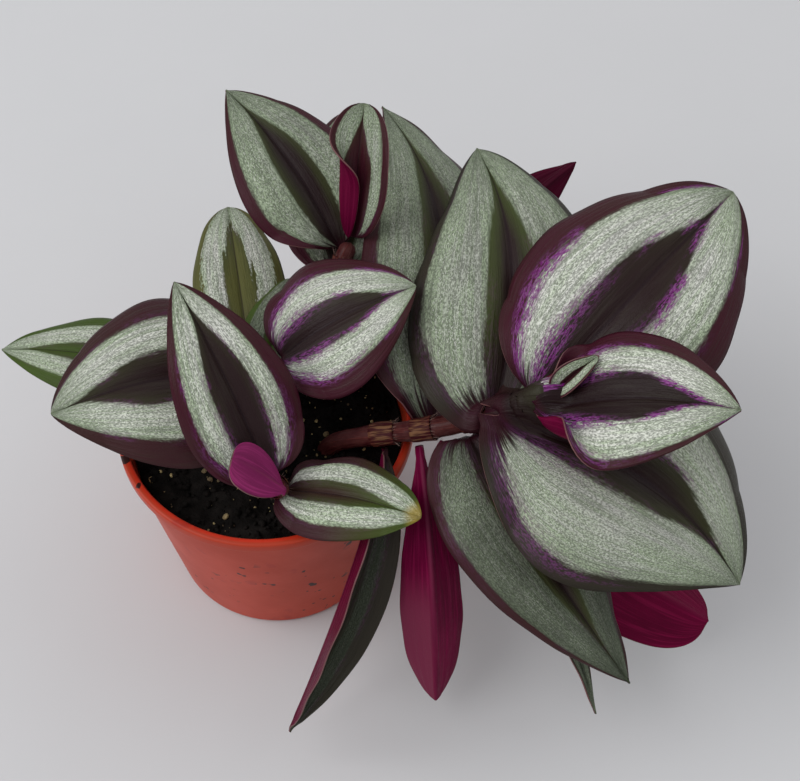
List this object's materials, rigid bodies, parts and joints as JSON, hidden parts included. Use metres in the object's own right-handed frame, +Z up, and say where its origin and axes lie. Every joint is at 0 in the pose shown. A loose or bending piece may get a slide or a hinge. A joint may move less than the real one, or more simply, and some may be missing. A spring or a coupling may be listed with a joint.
{
  "type": "potted inch plant",
  "caption": "Trailing inch plant with broad striped leaves on fleshy stems, rooted in a small round tapered nursery pot of soil.",
  "frame": {"origin": "middle of the flat foot of the pot, on the surface it stands on", "axes": "+Z up, -Y towards the front, +X towards the long trailing stem"},
  "size_m": [0.148, 0.1211, 0.0914],
  "materials": {
    "pot": "moulded terracotta-coloured plastic with a soft sheen",
    "soil": "loose dark potting mix with pale grit",
    "stem": "fleshy dark red stem with fine lengthwise streaks",
    "striped_leaf": "satin leaf with silver bands, dark purple margins and a purple underside",
    "green_leaf": "satin leaf with pale bands, green margins and a purple underside"
  },
  "bodies": {
    "root": {"leaf_back_1": "striped_leaf", "leaf_back_2": "striped_leaf", "leaf_back_bud": "striped_leaf", "leaf_far_1": "striped_leaf", "leaf_far_2": "striped_leaf", "leaf_front_1": "green_leaf", "leaf_front_2": "striped_leaf", "leaf_front_bud": "striped_leaf", "leaf_left_1": "green_leaf", "leaf_middle_1": "green_leaf", "leaf_middle_2": "striped_leaf", "leaf_middle_3": "striped_leaf", "leaf_middle_4": "striped_leaf", "leaf_right_1": "striped_leaf", "leaf_right_10": "striped_leaf", "leaf_right_2": "striped_leaf", "leaf_right_3": "striped_leaf", "leaf_right_4": "striped_leaf", "leaf_right_5": "striped_leaf", "leaf_right_6": "striped_leaf", "leaf_right_7": "striped_leaf", "leaf_right_8": "striped_leaf", "leaf_right_9": "striped_leaf", "leaf_right_bud": "striped_leaf", "pot": "pot", "soil": "soil", "stem_back": "stem", "stem_far": "stem", "stem_front": "stem", "stem_left": "stem", "stem_middle": "stem", "stem_right": "stem"}
  },
  "joints": []
}
